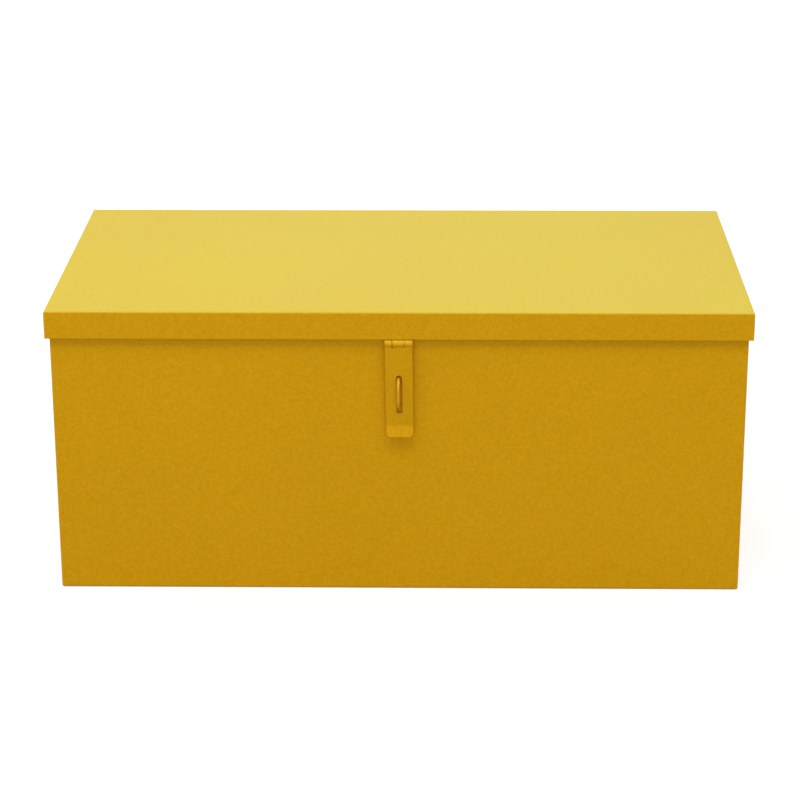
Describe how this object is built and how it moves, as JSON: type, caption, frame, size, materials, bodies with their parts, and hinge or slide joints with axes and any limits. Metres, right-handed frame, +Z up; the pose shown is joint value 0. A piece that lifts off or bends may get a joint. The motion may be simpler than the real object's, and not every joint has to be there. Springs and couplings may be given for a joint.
{
  "type": "jobsite storage box",
  "caption": "Painted sheet-steel storage box: lift-up lapping lid on a rear continuous hinge, hasp and staple for a padlock, slotted lid stays, drop handles on the ends.",
  "frame": {"origin": "middle of the underside, on the surface that the box stands on", "axes": "+X along the box to the right as seen from the front, +Y from the front to the back, +Z up"},
  "size_m": [0.7902, 0.4358, 0.3285],
  "materials": {
    "body_paint": "yellow powder coat, satin, fine orange peel",
    "lid_paint": "yellow powder coat, satin, fine orange peel",
    "hasp_paint": "yellow powder coat, satin",
    "hinge_paint": "yellow powder coat, satin",
    "handle_paint": "yellow powder coat, satin",
    "zinc_steel": "bright zinc plate"
  },
  "bodies": {
    "box": {"body_wrap": "body_paint", "lock_staple": "hasp_paint", "staple_backing_plate": "body_paint", "hinge_body_leaf": "hinge_paint", "hinge_pin": "hinge_paint", "left_end_panel": "body_paint", "left_handle_plate": "handle_paint", "left_handle_rivets": "zinc_steel", "left_stay_stud": "zinc_steel", "right_end_panel": "body_paint", "right_handle_plate": "handle_paint", "right_handle_rivets": "zinc_steel", "right_stay_stud": "zinc_steel"},
    "lid": {"lid_pan": "lid_paint", "lid_stiffener": "lid_paint", "hinge_lid_leaf": "hinge_paint", "hasp_leaf": "hasp_paint", "hasp_pin": "hasp_paint", "left_stay_bracket": "lid_paint", "left_stay_pivot": "zinc_steel", "right_stay_bracket": "lid_paint", "right_stay_pivot": "zinc_steel"},
    "hasp": {"hasp_strap": "hasp_paint"},
    "left_stay": {"left_stay_arm": "zinc_steel"},
    "right_stay": {"right_stay_arm": "zinc_steel"},
    "left_handle": {"left_handle_bail": "handle_paint"},
    "right_handle": {"right_handle_bail": "handle_paint"}
  },
  "joints": [
    {"name": "lid_hinge", "type": "hinge", "parent": "box", "child": "lid", "pos_m": [0, 0.20665, 0.29395], "axis": [-1, 0, 0], "range_deg": [0, 110]},
    {"name": "hasp_swing", "type": "hinge", "parent": "lid", "child": "hasp", "pos_m": [0, -0.20915, 0.29315], "axis": [-1, 0, 0], "range_deg": [0, 120]},
    {"name": "left_stay_turn", "type": "hinge", "parent": "lid", "child": "left_stay", "pos_m": [-0.3725, 0.067, 0.312], "axis": [-1, 0, 0], "range_deg": [-55, 0]},
    {"name": "right_stay_turn", "type": "hinge", "parent": "lid", "child": "right_stay", "pos_m": [0.3725, 0.067, 0.312], "axis": [-1, 0, 0], "range_deg": [-55, 0]},
    {"name": "left_handle_swing", "type": "hinge", "parent": "box", "child": "left_handle", "pos_m": [-0.38905, 0, 0.205], "axis": [0, 1, 0], "range_deg": [0, 180]},
    {"name": "right_handle_swing", "type": "hinge", "parent": "box", "child": "right_handle", "pos_m": [0.38905, 0, 0.205], "axis": [0, -1, 0], "range_deg": [0, 180]}
  ],
  "couplings": [
    {"joint": "left_stay_turn", "follows": "lid_hinge", "ratio": -0.5},
    {"joint": "right_stay_turn", "follows": "lid_hinge", "ratio": -0.5}
  ]
}
